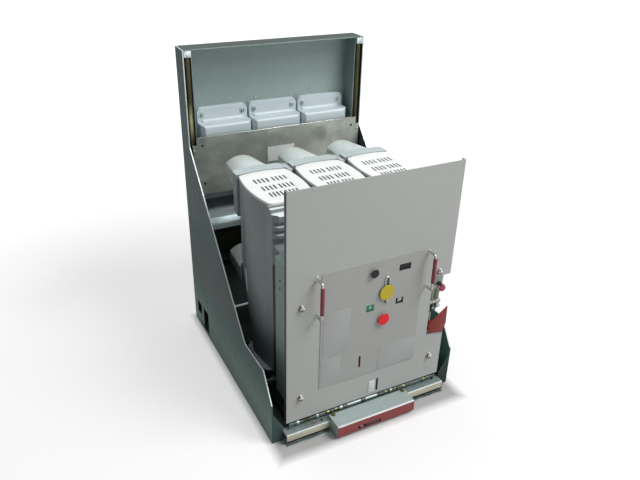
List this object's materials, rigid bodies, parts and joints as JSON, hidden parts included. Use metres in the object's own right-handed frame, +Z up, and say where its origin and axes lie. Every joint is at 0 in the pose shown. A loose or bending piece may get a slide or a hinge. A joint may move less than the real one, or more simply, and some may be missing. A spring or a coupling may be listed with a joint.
{
  "type": "withdrawable vacuum circuit breaker in its cradle",
  "caption": "Medium-voltage withdrawable vacuum circuit breaker truck standing in an open draw-out cradle with contact shutters",
  "frame": {"origin": "middle of the base on the floor, halfway between the front of the racking unit and the back sheet", "axes": "X to the right seen from the operating front, Y backwards towards the spouts, Z up"},
  "size_m": [0.524, 0.658, 0.834],
  "materials": {
    "zinc_sheet": "satin",
    "back_zinc": "satin",
    "bright_steel": "polished",
    "yellow_zinc": "satin",
    "dark_zinc": "satin",
    "panel_grey": "satin",
    "pole_grey": "matte",
    "cap_white": "matte",
    "sleeve_pale": "gloss",
    "spout_blue_grey": "satin",
    "grip_red": "satin",
    "red_paint": "satin",
    "black_plastic": "gloss",
    "red_plastic": "gloss",
    "yellow_plastic": "gloss",
    "olive_paint": "satin"
  },
  "bodies": {
    "root": {"right_side_plate": "zinc_sheet", "left_side_plate": "zinc_sheet", "right_truck_rail": "zinc_sheet", "left_truck_rail": "zinc_sheet", "back_sheet": "back_zinc", "right_guide_rod": "yellow_zinc", "left_guide_rod": "yellow_zinc", "cross_piece": "zinc_sheet", "front_rail": "zinc_sheet", "racking_housing": "zinc_sheet", "racking_face": "red_paint", "interlock_shaft": "yellow_zinc", "spout_housing_1": "spout_blue_grey", "spout_housing_2": "spout_blue_grey", "spout_housing_3": "spout_blue_grey"},
    "truck": {"front_panel": "panel_grey", "inner_cover": "panel_grey", "mechanism_box": "zinc_sheet", "truck_base": "zinc_sheet", "left_handle": "bright_steel", "right_handle": "bright_steel", "left_grip": "grip_red", "right_grip": "grip_red", "spring_disc": "yellow_plastic", "interlock_flag": "red_paint", "interlock_knob": "red_plastic", "interlock_lever": "olive_paint", "lock_barrels": "bright_steel", "pole_housing_1": "pole_grey", "pole_cap_1": "cap_white", "upper_sleeve_1": "sleeve_pale", "lower_sleeve_1": "sleeve_pale", "pole_housing_2": "pole_grey", "pole_cap_2": "cap_white", "upper_sleeve_2": "sleeve_pale", "lower_sleeve_2": "sleeve_pale", "pole_housing_3": "pole_grey", "pole_cap_3": "cap_white", "upper_sleeve_3": "sleeve_pale", "lower_sleeve_3": "sleeve_pale"},
    "upper_shutter": {"upper_shutter": "bright_steel"},
    "lower_shutter": {"lower_shutter": "dark_zinc"},
    "on_button": {"on_button": "black_plastic"},
    "off_button": {"off_button": "red_plastic"}
  },
  "joints": [
    {"name": "truck_travel", "type": "slide", "parent": "root", "child": "truck", "axis": [0, 1, 0], "range_m": [0, 0.108]},
    {"name": "upper_shutter_lift", "type": "slide", "parent": "root", "child": "upper_shutter", "axis": [0, 0, 1], "range_m": [0, 0.225]},
    {"name": "lower_shutter_drop", "type": "slide", "parent": "root", "child": "lower_shutter", "axis": [0, 0, -1], "range_m": [0, 0.135]},
    {"name": "on_button_press", "type": "slide", "parent": "truck", "child": "on_button", "axis": [0, 1, 0], "range_m": [0, 0.005], "stiffness_N_per_m": 1500, "springref_m": -0.003},
    {"name": "off_button_press", "type": "slide", "parent": "truck", "child": "off_button", "axis": [0, 1, 0], "range_m": [0, 0.005], "stiffness_N_per_m": 1500, "springref_m": -0.003}
  ],
  "couplings": [
    {"joint": "upper_shutter_lift", "follows": "truck_travel", "ratio": 2.08},
    {"joint": "lower_shutter_drop", "follows": "truck_travel", "ratio": 1.25}
  ]
}
